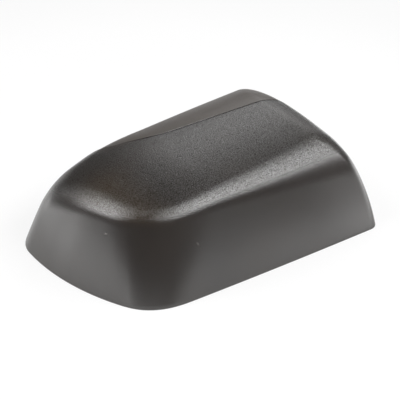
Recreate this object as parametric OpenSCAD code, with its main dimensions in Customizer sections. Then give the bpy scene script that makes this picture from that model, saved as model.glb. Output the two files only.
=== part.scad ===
// Mirror base cover: a moulded cap with a blunt round nose, a flat end and a barrel roof.
// X runs from the nose to the flat end, Y from the long front wall to the rear, and Z up from the open rim.
// The origin is on the plane of the rim, at the middle of its outline.

/* [Overall] */
// Length from the nose to the flat end
cover_l = 163; // [130:1:200]
// Width across the flat end
cover_w = 136; // [115:1:165]
// Height of the roof's ridge above the middle of the rim
cover_h = 53; // [44:1:66]
// Thickness of the skin
wall_t = 2.5; // [1.8:0.1:3.2]

/* [Plan outline] */
// Radius of the slight bow of the front wall
front_bow_r = 3000; // [1200:50:6000]
// Radius of the nose
nose_bow_r = 121; // [90:1:180]
// How far the foremost point of the nose lies behind the middle line
nose_shift = 4.8; // [-10:0.1:15]
// Angle by which the rear wall runs in towards the nose
rear_taper = 10.3; // [0:0.1:18]
// Radius of the slight bow of the rear wall
rear_bow_r = 1500; // [600:50:4000]
// Radius of the corner between front wall and nose, at the rim
front_corner_r = 11.4; // [6:0.1:20]
// Growth of that corner's radius for each millimetre of height
front_corner_grow = 0.34; // [0:0.02:0.6]
// Radius of the corner between nose and rear wall
rear_corner_r = 13.3; // [6:0.1:25]

/* [Walls] */
// Draft of the front wall at the nose
front_draft_nose = 17.6; // [8:0.1:24]
// Draft of the front wall at the flat end
front_draft_end = 21.9; // [8:0.1:26]
// Draft of the nose
nose_draft = 20; // [10:0.5:26]
// Draft of the rear wall
rear_draft = 15.3; // [5:0.1:20]
// Radius by which the rear wall curves inwards as it rises
rear_curve_r = 260; // [150:5:600]
// Radius by which the flat end curves inwards as it rises
end_curve_r = 85; // [66:1:140]
// Radius of the edge round the flat end, at the rim
end_edge_r = 5; // [2:0.5:9]
// Growth of that edge's radius for each millimetre of height
end_edge_grow = 0.08; // [0:0.02:0.2]

/* [Roof] */
// Radius of the barrel roof at its ridge
ridge_r = 93; // [80:1:140]
// How far the ridge lies from the middle line
ridge_shift = -12.4; // [-20:0.1:5]
// Angle between the ridge and the length of the cover
ridge_skew = 3.3; // [-4:0.1:6]
// Extra fall of the roof halfway out to the front wall
ridge_flank = 0.2; // [0:0.05:0.8]
// Rise of the ridge towards the flat end, for each 100 mm
ridge_rise = 2.4; // [-2:0.1:3]
// Distance from the tip of the nose to where the roof starts to fall
nose_fall_l = 70.3; // [50:0.1:90]
// Radius by which the roof falls towards the nose
nose_fall_r = 144; // [90:1:180]
// Shoulder radius at the front corner of the nose
shoulder_nose_r = 1.5; // [1:0.1:8]
// Shoulder radius along the front wall, at the flat end
shoulder_end_r = 4.7; // [3:0.1:14]
// Shoulder radius along the rear wall
shoulder_rear_r = 15; // [10:0.5:28]
// Shoulder radius where the roof comes down to the rim
shoulder_low_r = 4; // [2:0.5:8]
// Growth of that radius for each millimetre of height
shoulder_low_grow = 0.6; // [0.4:0.1:1]

/* [Rear panel] */
// How far the panel's front edge lies from the middle line
panel_shift = -1; // [-12:0.1:8]
// Angle between that edge and the length of the cover
panel_skew = 3.4; // [-3:0.1:6]
// Distance from the tip of the nose to the panel's end
panel_end_l = 29; // [20:1:50]
// Radius of the turn between the panel's front edge and its end
panel_turn_r = 51; // [35:1:60]
// Angle by which the panel leans away from the roof
panel_lean = 5.2; // [1:0.1:10]
// Depth of the panel below the roof along its edge
panel_step = 0.5; // [0.2:0.1:1.2]
// Width of the groove along the panel's front edge
groove_w = 0.8; // [0.4:0.1:1.6]
// Depth of the groove
groove_d = 0.5; // [0.2:0.1:1]

/* [Inside] */
// Number of ribs under the roof
rib_count = 3; // [1:1:5]
// Distance from rib to rib
rib_pitch = 25; // [12:1:30]
// Thickness of a rib
rib_t = 1.6; // [1:0.1:2.4]
// Depth of a rib below the skin
rib_h = 5; // [2:0.5:8]
// Height of a rib's foot above the rim
rib_foot_z = 9; // [5:0.5:16]
// Distance between the two screw bosses
boss_pitch = 84; // [70:1:96]
// Diameter of a boss
boss_d = 8; // [6:0.5:11]
// Diameter of the screw hole in a boss
boss_hole_d = 3.2; // [2.4:0.1:4.5]
// Depth of the screw hole
boss_hole_l = 20; // [12:1:26]
// Height of a boss's end above the rim
boss_end_z = 12; // [6:0.5:18]
// Reach of the fins that carry a boss, out from its middle
fin_reach = 10; // [7:0.5:13]
// Length of the fins down the boss
fin_l = 22; // [10:1:28]
// Height of a fin's outer end
fin_end = 1; // [0.5:0.1:3]
// Distance between the two catches on a long wall
catch_pitch = 60; // [40:1:76]
// Width of a catch
catch_w = 12; // [6:1:18]
// How far a catch stands in from the wall
catch_reach = 1.6; // [0.8:0.1:2.5]
// Height of a catch's ledge above the rim
catch_z = 7; // [4:0.5:12]
// Height of the catch above its ledge
catch_l = 6; // [4:0.5:10]
// Height of the upright land between the ledge and the ramp
catch_land = 1; // [0.5:0.1:2]

/* [Rim] */
// Chamfer on the rim's outer edge
rim_edge = 0.6; // [0.2:0.1:1.2]

/* [Smoothness] */
// Steps from the rim up to the shoulder
wall_steps = 6; // [4:1:9]
// Steps round the shoulder
turn_steps = 9; // [6:1:12]
// Steps from the shoulder to the ridge
roof_steps = 10; // [6:1:14]
// Length of the steps along the ridge
ridge_step = 5; // [3:0.5:8]

/* [Hidden] */
cover_colour = [0.16, 0.155, 0.15];
$fn = 48;

half_l = cover_l / 2;
half_w = cover_w / 2;
// The roof's extra fall on the front side is written as a fourth power, and this is its factor
flank_k = ridge_flank / pow(half_w / 2, 4);
// Where the roof starts to fall towards the nose, measured from the middle
nose_fall_x = nose_fall_l - half_l;
// The panel's edge in its own axes: u along the edge, v towards the rear, from where it crosses the middle
panel_u0 = panel_end_l - half_l;
turn_u = panel_u0 + panel_turn_r;
// Width over which the roof bends and steps down to the panel
panel_bend = 1;
panel_step_w = 1.5;
// The groove runs this far into the turn, as an angle, and fades out over the last part
groove_turn = 38;
fade_part = 0.3;
// It also fades out down the flat end, between these two elevations of a ray from inside
end_fade_low = 30;
end_fade_high = 42;
// The rays start on a line inside the cover, which ends this far from the flat end
spine_gap = 1.1 * cover_h;
// The extra rays at a corner cover this angle to each side, at the flat end and at the nose
end_spread = 6;
nose_spread = 9;
// Rays from the flat end's middle to its corner, round the corner and along the wall behind it
end_fan = [6, 9, 6];
// Rays round the nose's front corner, across the nose and round its rear corner
nose_fan = [11, 10, 8];
// Rays from the nose's rear corner back to the stations, and the plan angle at which they get there
rear_fan = 4;
rear_first_a = -246;
// Smallest angle between the rear corner's extra rays and the last station's heading
fan_gap = 1;
// Substitutions until the place where nose and rear wall meet is found
meet_steps = 4;
// The steps round a shoulder cover this share of its radius, and a little more, to each side
turn_share = 0.6;
turn_extra = 1.2;
// They leave at least these shares of the elevation below the shoulder and above it to wall and roof
low_share = 1 / 3;
high_share = 0.3;
// The inside has this share of the outside's steps
inner_share = 0.5;
// Width over which the flat end's edge radius takes over from the shoulder's
edge_blend = 12;
// Root finding: largest error and most steps
hit_error = 0.0005;
hit_steps = 24;
halvings = 9;
far = 2 * cover_l;
// How deep a rib, fin or catch is sunk into the skin, as a share of the skin
sink = 0.5;
// How far a cut starts outside the solid that it cuts
cut_extra = 1;
// Angle from point to point of a rib's outline, and the angle over which its depth grows from the foot
rib_turn = 3;
rib_grow = 14;

// Edge between two faces, rounded with radius r. All three are signed distances, negative inside
function round_max(a, b, r) =
    min(max(a, b), -r) + norm([max(a + r, 0), max(b + r, 0)]);

// How far an arc of radius r has fallen at a distance t from its crest
function fall(t, r) = r - sqrt(max(r * r - t * t, 1));

// Smooth change from 0 to 1 as t goes from 0 to 1
function smooth(t) =
    let (s = min(max(t, 0), 1))
    s * s * (3 - 2 * s);

function mix(a, b, t) = a + (b - a) * t;

// Distance outside a bowed side that passes through p, facing in direction a, with radius r
function bow(x, y, p, a, r) =
    norm([x - p[0] + r * cos(a), y - p[1] + r * sin(a)]) - r;

// The four sides
function front_wall(x, y, z) =
    let (draft = mix(front_draft_nose, front_draft_end, (x + half_l) / cover_l))
    (bow(x, y, [0, -half_w], -90, front_bow_r) + z * tan(draft)) * cos(draft);

function nose_wall(x, y, z) =
    let (across = norm([min(x + half_l - nose_bow_r, 0), y - nose_shift]) - nose_bow_r)
    (across + z * tan(nose_draft)) * cos(nose_draft);

function rear_wall(x, y, z) =
    (bow(x, y, [half_l, half_w], 90 + rear_taper, rear_bow_r) + z * tan(rear_draft) + fall(z, rear_curve_r))
    * cos(rear_draft);

function end_wall(x, y, z) =
    norm([max(x - half_l + end_curve_r, 0), z]) - end_curve_r;

// The three sides that share the big corners
function side_walls(x, y, z) =
    round_max(
        round_max(front_wall(x, y, z), nose_wall(x, y, z), front_corner_r + front_corner_grow * max(z, 0)),
        rear_wall(x, y, z),
        rear_corner_r
    );

// Distance into the rear panel, from its edge
function into_panel(x, y) =
    let (
        s = y - panel_shift,
        u = x * cos(panel_skew) - s * sin(panel_skew),
        v = x * sin(panel_skew) + s * cos(panel_skew)
    )
    -round_max(panel_u0 - u, -v, panel_turn_r);

// The roof is a barrel. It falls away at the nose and, behind the panel's edge, a little more
function roof(x, y, z) =
    let (
        across = y - ridge_shift - x * tan(ridge_skew),
        d = into_panel(x, y),
        lean = (d + norm([d, panel_bend])) / 2 * tan(panel_lean),
        step = panel_step * smooth(d / panel_step_w),
        nose_fall = fall(max(nose_fall_x - x, 0), nose_fall_r),
        flank = flank_k * pow(min(across, 0), 4),
        lift = nose_fall + lean + step + flank - ridge_rise * x / 100
    )
    norm([across, z + lift - cover_h + ridge_r]) - ridge_r;

// The shoulder is tight at the front corner of the nose and grows towards the flat end and the rear.
// It shrinks again where the roof comes down to the rim
function shoulder_r(p) =
    let (
        along = min(max((p[0] + half_l) / cover_l, 0), 1),
        back = min(max((p[1] + half_w) / cover_w, 0), 1)
    )
    min(
        mix(mix(shoulder_nose_r, shoulder_end_r, along), shoulder_rear_r, back),
        shoulder_low_r + shoulder_low_grow * max(p[2], 0)
    );

function end_edge(z) = end_edge_r + end_edge_grow * max(z, 0);

// The whole outside: signed distance, negative inside the cover
function skin(p) =
    round_max(
        round_max(side_walls(p[0], p[1], p[2]), roof(p[0], p[1], p[2]), shoulder_r(p)),
        end_wall(p[0], p[1], p[2]),
        end_edge(p[2])
    );

// Direction of a ray with plan angle a and elevation e
function ray_dir(a, e) = [cos(a) * cos(e), sin(a) * cos(e), sin(e)];

// Where a ray from o along d meets the surface that lies depth below the skin, by false position
function find_hit(o, d, depth, t0, f0, t1, f1, side, n) =
    let (
        t = (t0 * f1 - t1 * f0) / (f1 - f0),
        f = skin(o + d * t) + depth
    )
    n == 0 || abs(f) < hit_error || t1 - t0 < hit_error ? t
    : f < 0 ? find_hit(o, d, depth, t, f, t1, side < 0 ? f1 / 2 : f1, -1, n - 1)
    : find_hit(o, d, depth, t0, side > 0 ? f0 / 2 : f0, t, f, 1, n - 1);

function hit(o, a, e, depth) =
    let (
        start = [o[0], o[1], 0],
        d = ray_dir(a, e)
    )
    find_hit(start, d, depth, 0, skin(start) + depth, far, skin(start + d * far) + depth, 0, hit_steps);

function hit_point(o, a, e, depth, pull = 0) =
    [o[0], o[1], 0] + ray_dir(a, e) * (hit(o, a, e, depth) - pull);

// Height of the surface that lies depth below the skin, above a point of the plan
function height(o, depth) = hit(o, 0, 90, depth);

// A point of the plan from the panel edge's own axes
function from_edge(u, v) =
    [u * cos(panel_skew) + v * sin(panel_skew), panel_shift - u * sin(panel_skew) + v * cos(panel_skew)];

// Stations along the panel's edge, from the flat end to where the groove has faded out: place and heading
line_u = half_l - spine_gap;
line_n = max(round((line_u - turn_u) / ridge_step), 2);
turn_n = max(round(panel_turn_r * groove_turn * PI / 180 / ridge_step), 2);
stations = [
    for (i = [0:line_n]) [from_edge(mix(line_u, turn_u, i / line_n), 0), 180 - panel_skew],
    for (i = [1:turn_n])
        let (a = groove_turn * i / turn_n)
        [
            from_edge(turn_u - panel_turn_r * sin(a), panel_turn_r * (1 - cos(a))),
            180 - panel_skew - a
        ]
];
last = len(stations) - 1;

// The two sides of the groove at a station
function beside(i, side) =
    stations[i][0] + side * groove_w / 2 * [cos(stations[i][1] - 90), sin(stations[i][1] - 90)];
front_side = [for (i = [0:last]) beside(i, -1)];
rear_side = [for (i = [0:last]) beside(i, 1)];

// Angle at which point p is seen from o
function angle_of(o, p) = atan2(p[1] - o[1], p[0] - o[0]);

// Where the nose's bow is at y, and where it meets the rear wall, found by repeated substitution
function nose_x(y) = nose_bow_r - half_l - sqrt(pow(nose_bow_r, 2) - pow(y - nose_shift, 2));
function rear_y(x) = half_w - (half_l - x) * tan(rear_taper);
function meet(x, n) = n == 0 ? [x, rear_y(x)] : meet(nose_x(rear_y(x)), n - 1);

// Plan angles of the rays, falling from the flat end round the front, the nose and the rear
end_a = -panel_skew;
front_a = -90;
nose_a = stations[last][1] - 360;
rear_a = -270;
front_end_a = angle_of(front_side[0], [half_l, -half_w]);
rear_end_a = angle_of(rear_side[0], [half_l, half_w]) - 360;
front_nose_a = angle_of(front_side[last], [nose_x(-half_w), -half_w]);
rear_corner_a = angle_of(front_side[last], meet(-half_l, meet_steps)) - 360;
rear_nose_a = max(rear_corner_a, nose_a + nose_spread + fan_gap);
front_last_a = front_nose_a + nose_spread;

// Angles of a fan, from a to b without a itself
function fan(a, b, n) = [for (i = [1:n]) mix(a, b, i / n)];

// Each ray: where it starts, its angle, and the place of its top in the list of tops
count = last + 1;
end_rays = concat(
    [end_a],
    fan(end_a, front_end_a + end_spread, end_fan[0]),
    fan(front_end_a + end_spread, front_end_a - end_spread, end_fan[1]),
    fan(front_end_a - end_spread, front_a, end_fan[2])
);
nose_rays = concat(
    fan(front_last_a, front_nose_a - nose_spread, nose_fan[0]),
    fan(front_nose_a - nose_spread, rear_nose_a + nose_spread, nose_fan[1]),
    fan(rear_nose_a + nose_spread, rear_nose_a - nose_spread, nose_fan[2]),
    [nose_a]
);
rear_turn_rays = concat([nose_a], fan(nose_a, rear_first_a, rear_fan));
rear_end_rays = concat(
    fan(rear_a, rear_end_a + end_spread, end_fan[2]),
    fan(rear_end_a + end_spread, rear_end_a - end_spread, end_fan[1]),
    fan(rear_end_a - end_spread, end_a - 360, end_fan[0])
);
function along(i) = smooth((i - line_n) / turn_n);
rays = concat(
    [[stations[0][0], end_a, 0]],
    [for (a = end_rays) [front_side[0], a, count]],
    [for (i = [1:last]) [front_side[i], mix(front_a, front_last_a, along(i)), count + i]],
    [for (a = nose_rays) [front_side[last], a, count + last]],
    [[stations[last][0], nose_a, last]],
    [for (a = rear_turn_rays) [rear_side[last], a, 2 * count + last]],
    [for (i = [last - 1:-1:0]) [rear_side[i], mix(rear_a, rear_first_a, along(i)), 2 * count + i]],
    [for (a = rear_end_rays) [rear_side[0], a, 2 * count]]
);
ray_n = len(rays);

// How much of the groove's depth a ray has at elevation e, and a station has
function end_fade(e) = smooth((e - end_fade_low) / (end_fade_high - end_fade_low));
function line_fade(i) = smooth((last - i) / (last * fade_part));
function ray_groove(k, e) = k == 0 ? groove_d * end_fade(e) : 0;

// The middle of the rim's outline, which becomes the origin
rim_line = [for (r = rays) hit_point(r[0], r[1], 0, 0)];
rim_x = [for (p = rim_line) p[0]];
rim_y = [for (p = rim_line) p[1]];
mid = [(min(rim_x) + max(rim_x)) / 2, (min(rim_y) + max(rim_y)) / 2, 0];

// Elevation at which a ray meets the line between wall and roof, by halving
function shoulder_e(r, low, high, n) =
    let (
        e = (low + high) / 2,
        p = hit_point(r[0], r[1], e, 0),
        wall = max(side_walls(p[0], p[1], p[2]), end_wall(p[0], p[1], p[2]))
    )
    n == 0 ? e
    : wall > roof(p[0], p[1], p[2]) ? shoulder_e(r, e, high, n - 1)
    : shoulder_e(r, low, e, n - 1);

// The elevations between which a ray passes round the shoulder
function turn_range(r) =
    let (
        e = shoulder_e(r, 0, 90, halvings),
        p = hit_point(r[0], r[1], e, 0),
        over = end_wall(p[0], p[1], p[2]) - side_walls(p[0], p[1], p[2]),
        radius = mix(shoulder_r(p), end_edge(p[2]), smooth(over / edge_blend + 0.5)),
        spread = atan2(turn_share * radius + turn_extra, norm([p[0] - r[0][0], p[1] - r[0][1], p[2]]))
    )
    [max(e - spread, e * low_share), min(e + spread, mix(90, e, high_share))];
turn_ranges = [for (r = rays) turn_range(r)];

// Elevation of ray k at step j, with n steps on the wall, round the shoulder and over the roof
function step_e(k, j, n) =
    let (t = turn_ranges[k])
    j < n[0] ? mix(0, t[0], j / n[0])
    : j < n[0] + n[1] ? mix(t[0], t[1], (j - n[0]) / n[1])
    : mix(t[1], 90, (j - n[0] - n[1]) / n[2]);
outer_n = [wall_steps, turn_steps, roof_steps];
inner_n = [for (n = outer_n) max(round(n * inner_share), 2)];
outer_steps = wall_steps + turn_steps + roof_steps;
inner_steps = inner_n[0] + inner_n[1] + inner_n[2];

// Rings of the outside, from the rim's chamfer up
outer_rings = [
    for (r = rays) hit_point(r[0], r[1], 0, 0, rim_edge),
    for (r = rays) hit_point(r[0], r[1], atan2(rim_edge, hit(r[0], r[1], 0, 0)), 0),
    for (j = [1:outer_steps - 1])
        for (k = [0:ray_n - 1])
            let (e = step_e(k, j, outer_n))
            hit_point(rays[k][0], rays[k][1], e, 0, ray_groove(k, e))
];
outer_ring_n = outer_steps + 1;
inner_rings = [
    for (j = [0:inner_steps - 1])
        for (k = [0:ray_n - 1])
            hit_point(rays[k][0], rays[k][1], step_e(k, j, inner_n), wall_t)
];

// The point of the surface above a point of the plan, pulled down
function top(p, depth, pull) = [p[0], p[1], height(p, depth) - pull];

// Tops of the rays: the middle line, then its front and rear side
function tops(depth, groove) = concat(
    [for (i = [0:last]) top(stations[i][0], depth, groove * line_fade(i))],
    [for (p = front_side) top(p, depth, 0)],
    [for (p = rear_side) top(p, depth, 0)]
);

// Faces of one skin, whose points start at place base: its rings, then its tops
function skin_faces(base, ring_n) =
    let (top = base + ring_n * ray_n)
    concat(
        [
            for (j = [0:ring_n - 2])
                for (k = [0:ray_n - 1])
                    let (
                        next = (k + 1) % ray_n,
                        a = base + j * ray_n + k,
                        b = base + j * ray_n + next
                    )
                    each [[b, b + ray_n, a + ray_n], [b, a + ray_n, a]]
        ],
        [
            for (k = [0:ray_n - 1])
                let (
                    next = (k + 1) % ray_n,
                    a = top - ray_n + k,
                    b = top - ray_n + next,
                    top_a = top + rays[k][2],
                    top_b = top + rays[next][2]
                )
                each concat([[b, top_a, a]], top_a == top_b ? [] : [[b, top_b, top_a]])
        ],
        [
            for (i = [0:last - 1])
                let (
                    c = top + i,
                    f = top + count + i,
                    r = top + 2 * count + i
                )
                each [[f, f + 1, c + 1], [f, c + 1, c], [c, c + 1, r + 1], [c, r + 1, r]]
        ]
    );

function flipped(faces) = [for (f = faces) [f[2], f[1], f[0]]];

// The skin as one closed mesh: outside, inside and the flat rim between them
module shell() {
    outer_points = concat(outer_rings, tops(0, groove_d));
    inner_points = concat(inner_rings, tops(wall_t, 0));
    inner_base = len(outer_points);
    rim_faces = [
        for (k = [0:ray_n - 1])
            let (next = (k + 1) % ray_n)
            each [[inner_base + k, inner_base + next, next], [inner_base + k, next, k]]
    ];
    polyhedron(
        points = concat(outer_points, inner_points),
        faces = concat(
            skin_faces(0, outer_ring_n),
            flipped(skin_faces(inner_base, inner_steps)),
            rim_faces
        ),
        convexity = 6
    );
}

// One rib across the roof at x, following the skin down both walls
module rib(x) {
    o = [x, panel_shift];
    foot = [for (a = [-90, 90]) atan2(rib_foot_z, hit(o, a, 0, 0))];
    angles = [
        for (e = [foot[0]:rib_turn:90]) [-90, e, foot[0]],
        for (e = [90:-rib_turn:foot[1]]) [90, e, foot[1]]
    ];
    function at(t, e, side) = [side * t * cos(e), t * sin(e)];
    outline = [for (a = angles) at(hit(o, a[0], a[1], wall_t * sink), a[1], sign(a[0]))];
    inside = [
        for (a = angles)
            let (h = rib_h * smooth((a[1] - a[2]) / rib_grow))
            at(hit(o, a[0], a[1], wall_t + h), a[1], sign(a[0]))
    ];
    translate([x - rib_t / 2, o[1], 0])
        rotate([90, 0, 90])
            linear_extrude(rib_t)
                polygon(concat(outline, [for (i = [len(inside) - 1:-1:0]) inside[i]]));
}

module ribs() {
    for (i = [0:rib_count - 1])
        rib((i - (rib_count - 1) / 2) * rib_pitch);
}

boss_x = [-boss_pitch / 2, boss_pitch / 2];
function boss_place(x) = [x, ridge_shift + x * tan(ridge_skew)];

// One fin from a boss out along plan angle a, hanging from the roof
module boss_fin(o, a) {
    out = [for (t = [0, 0.5, 1]) t * fin_reach];
    roof_z = [for (t = out) height(o + t * [cos(a), sin(a)], wall_t * sink)];
    low_z = roof_z[0] - wall_t - fin_l;
    translate([o[0], o[1], 0])
        rotate([0, 0, a])
            rotate([90, 0, 0])
                translate([0, 0, -rib_t / 2])
                    linear_extrude(rib_t)
                        polygon([
                            [0, low_z],
                            [boss_d / 2, low_z],
                            [out[2], roof_z[2] - wall_t - fin_end],
                            [out[2], roof_z[2]],
                            [out[1], roof_z[1]],
                            [0, roof_z[0]]
                        ]);
}

// One hollow screw boss under the ridge, with four fins
module boss(x) {
    o = boss_place(x);
    top_z = height(o, wall_t * sink);
    translate([o[0], o[1], boss_end_z])
        cylinder(h = top_z - boss_end_z, d = boss_d);
    for (a = [0:90:270])
        boss_fin(o, a);
}

module boss_hole(x) {
    o = boss_place(x);
    translate([o[0], o[1], boss_end_z - cut_extra])
        cylinder(h = boss_hole_l + cut_extra, d = boss_hole_d);
}

// Distance from o to the skin's inside at height z, along plan angle a: the ray's elevation is set twice
function inside_at(o, a, z) =
    let (
        flat = hit(o, a, 0, wall_t),
        first = hit(o, a, atan2(z, flat), wall_t) * cos(atan2(z, flat)),
        e = atan2(z, first)
    )
    hit(o, a, e, wall_t) * cos(e);

// One catch on a long wall: a ledge with a ramp above it, seen from x on the middle line at plan angle a
module catch(x, a) {
    o = [x, 0];
    low = inside_at(o, a, catch_z);
    high = inside_at(o, a, catch_z + catch_l);
    bury = wall_t * sink;
    translate([x, 0, 0])
        rotate([0, 0, a])
            rotate([90, 0, 0])
                translate([0, 0, -catch_w / 2])
                    linear_extrude(catch_w)
                        polygon([
                            [low + bury, catch_z],
                            [low - catch_reach, catch_z],
                            [low - catch_reach, catch_z + catch_land],
                            [high, catch_z + catch_l],
                            [high + bury, catch_z + catch_l]
                        ]);
}

module catches() {
    for (x = [-catch_pitch / 2, catch_pitch / 2]) {
        catch(x, -90);
        catch(x, 90 + rear_taper);
    }
}

module base_cover() {
    color(cover_colour)
        translate(-mid)
            difference() {
                union() {
                    shell();
                    ribs();
                    for (x = boss_x)
                        boss(x);
                    catches();
                }
                for (x = boss_x)
                    boss_hole(x);
            }
}

base_cover();
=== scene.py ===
"""The mirror base cover's looks: one moulded cap on a pale floor, with its light and its camera.

The cap follows the formulas of the solid part, in millimetres, and is traced more finely. Four of its forms
are set a little off the part's for the looks: the front corner of the nose, the edge of the flat end, the
front shoulder and the panel's edge. X runs from the nose to the flat end, Y from the long front wall to the
rear, and Z up from the open rim.
"""
import math

import bmesh
import bpy
import numpy as np
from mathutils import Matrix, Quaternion, Vector

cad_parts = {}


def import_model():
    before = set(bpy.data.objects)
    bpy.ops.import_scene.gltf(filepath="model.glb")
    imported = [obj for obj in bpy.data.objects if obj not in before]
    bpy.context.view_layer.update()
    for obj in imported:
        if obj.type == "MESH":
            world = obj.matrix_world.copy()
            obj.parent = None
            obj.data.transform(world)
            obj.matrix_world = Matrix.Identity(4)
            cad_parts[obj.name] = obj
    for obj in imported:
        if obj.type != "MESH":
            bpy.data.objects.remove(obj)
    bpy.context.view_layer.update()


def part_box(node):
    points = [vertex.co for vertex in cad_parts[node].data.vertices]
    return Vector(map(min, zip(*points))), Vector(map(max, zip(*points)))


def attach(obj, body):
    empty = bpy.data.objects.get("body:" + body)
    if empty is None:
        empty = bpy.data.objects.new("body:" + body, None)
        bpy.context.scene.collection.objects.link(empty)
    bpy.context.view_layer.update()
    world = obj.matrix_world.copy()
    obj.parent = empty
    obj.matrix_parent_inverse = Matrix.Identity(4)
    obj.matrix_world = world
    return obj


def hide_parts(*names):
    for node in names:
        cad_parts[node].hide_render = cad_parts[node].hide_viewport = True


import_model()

MM = 0.001

# Overall
COVER_L = 163
COVER_W = 136
COVER_H = 53
WALL_T = 2.5
HALF_L = COVER_L / 2
HALF_W = COVER_W / 2

# Plan outline
FRONT_BOW_R = 3000
NOSE_BOW_R = 121
NOSE_SHIFT = 4.8
REAR_TAPER = 10.3
REAR_BOW_R = 1500
FRONT_CORNER_R = 11.4
FRONT_CORNER_GROW = 0.2
REAR_CORNER_R = 13.3

# Eased edges: the power of their curve, and how much further than an arc it reaches
EASE = 3
EASE_REACH = (1 - 2 ** -0.5) / (1 - 2 ** (-1 / EASE))

# Walls, with their drafts in degrees
FRONT_DRAFT_NOSE = 17.6
FRONT_DRAFT_END = 21.9
NOSE_DRAFT = 20
REAR_DRAFT = 15.3
REAR_CURVE_R = 260
END_CURVE_R = 85
END_EDGE_R = 5.5
END_EDGE_GROW = 0.25
END_EDGE_GROW_Z = 36

# Roof
RIDGE_R = 93
RIDGE_SHIFT = -12.4
RIDGE_SKEW = 3.3
RIDGE_FLANK = 0.2
RIDGE_RISE = 2.4
NOSE_FALL_L = 70.3
NOSE_FALL_R = 144
SHOULDER_NOSE_R = 1
SHOULDER_END_R = 11.5
SHOULDER_REAR_R = 15
SHOULDER_LOW_R = 4
SHOULDER_LOW_GROW = 0.6

# Rear panel
PANEL_SHIFT = 1
PANEL_SKEW = 2.8
PANEL_END_L = 29
PANEL_TURN_R = 51
PANEL_LEAN = 5.2
PANEL_STEP = 0.5
PANEL_BEND = 1
PANEL_STEP_W = 1.5

# Groove along the panel's edge: it fades out down the flat end, between two elevations
GROOVE_W = 0.8
GROOVE_D = 0.5
GROOVE_TURN = 38
GROOVE_FADE_PART = 0.3
GROOVE_END_LOW = 30
GROOVE_END_HIGH = 42

# Inside
RIB_COUNT = 3
RIB_PITCH = 25
RIB_T = 1.6
RIB_H = 5
RIB_FOOT_Z = 9
RIB_GROW = 14
RIB_POINTS = 60
BOSS_PITCH = 84
BOSS_D = 8
BOSS_HOLE_D = 3.2
BOSS_HOLE_L = 20
BOSS_END_Z = 12
BOSS_MOUTH = 0.4
FIN_REACH = 10
FIN_L = 22
FIN_END = 1
FIN_TURN = 90
CATCH_PITCH = 60
CATCH_W = 12
CATCH_REACH = 1.6
CATCH_Z = 7
CATCH_L = 6
CATCH_LAND = 1

# How deep the ribs, fins and catches run into the skin
SINK = WALL_T / 2

# Rim: radius of its outer and its inner edge, and the steps round them
RIM_EDGE = 0.6
RIM_INNER_EDGE = 0.25
RIM_STEPS = 4

# Camera: it stands off a point inside the cover, at an azimuth and an elevation, and looks at its aim
CAMERA_SENSOR = 36
CAMERA_PIVOT = Vector((0, 0.4, 20))
CAMERA_AIM = Vector((7.2, -9.8, 12.8))
CAMERA_AWAY = 880
CAMERA_SIDE = (-34.255, 31.45)
CAMERA_LENS = 153.6
CAMERA_ROLL = math.radians(0.47)

# Softboxes: azimuth, elevation, width, height, strength and roll, in degrees and metres
SOFTBOX_AWAY = 1.2
SOFTBOXES = {
    "softbox_right": (36, 44.5, 1.15, 0.43, 9.1, -17),
    "softbox_left": (246, 41, 0.6, 0.8, 7.0, 0),
    "softbox_back": (133, 32, 0.68, 0.5, 2.3, 0),
    "softbox_back_low": (142, 13, 0.5, 0.35, 0.6, 0),
}

# The lamp under the floor: width, height and strength
BELOW = (1.0, 1.0, 2.0)

# Low cards on the floor, round the cover: height and strength by azimuth
CARD_AWAY = 0.18
CARD_W = 0.15
CARDS = {
    0: (0.014, 1.1), 45: (0.016, 1.4), 62: (0.045, 0.8), 90: (0.04, 1.1),
    232: (0.033, 1.4), 274: (0.03, 1.25), 316: (0.026, 1.0),
}

# Surround: its grey, and how high over the horizon reflections still see some white, 1 being straight up
SURROUND_GREY = 0.06
WHITE_UP_TO = 0.03

# Floor: it is painted grey between two distances in metres, a painted pool of light round the cover, where
# the eye's share of even white grows to 1
FLOOR_HALF = 3.0
FLOOR_WHITE = 0.9
FLOOR_PAINTED_FAR_GREY = 0.2
FLOOR_EVEN = 0.8
FLOOR_NEAR_R = 0.2
FLOOR_FAR_R = 0.4

# Distances between which reflections stop seeing the floor evenly white, a painted pool of light in
# reflections
MIRROR_NEAR_R = 0.12
MIRROR_FAR_R = 0.3

# Shine of the plastic
PLASTIC_IOR = 1.8
SPECULAR_LEVEL = 0.5
WALL_ROUGHNESS = 0.26
ROOF_ROUGHNESS = 0.28
PANEL_ROUGHER = 0.12

# Grain: full on the roof, and a share of it on the walls and the panel. Its depth is in metres
WALL_GRAIN = 0.2
GRAIN_SCALE = 2200
GRAIN_DETAIL = 2
GRAIN_DEPTH = 0.0002
GRAIN_SPARKLE = 2.5
NOISE_MEAN = 0.5

# Colours, each from its darker to its lighter clouds
CLOUD_SCALE = 30
CLOUD_DETAIL = 4
CLOUD_LOW = 0.3
CLOUD_HIGH = 0.7
COVER_TINT = ((0.019, 0.0165, 0.015), (0.024, 0.0195, 0.0165))
# The panel is browner, and lighter as a painted reflection of the pale surround at a grazing angle
PANEL_TINT_AND_SHEEN = ((0.043, 0.0325, 0.0245), (0.048, 0.035, 0.0255))
NOSE_TINT = ((0.029, 0.021, 0.014), (0.034, 0.023, 0.0135))
# The groove's colour is painted shade, darker than the plastic
GROOVE_PAINTED_SHADE = (0.006, 0.005, 0.005)

# Edges that turn by more than this many degrees are shaded sharp
SHARP_ANGLE = 38

# Where the finish changes, and where the painted shade in the groove and the painted reflection on the
# panel lie
ROOF_SHIFT = 5
ROOF_BLEND = 6
PANEL_SOFT_W = 16
NOSE_TINT_X = -30
NOSE_TINT_Y = 5
NOSE_TINT_L = 25
# Painted shade in the groove: its reach, its offset from the panel's edge and its width
GROOVE_DARK = 1.6
GROOVE_DARK_AT = 0.5
GROOVE_DARK_W = 0.6

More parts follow.
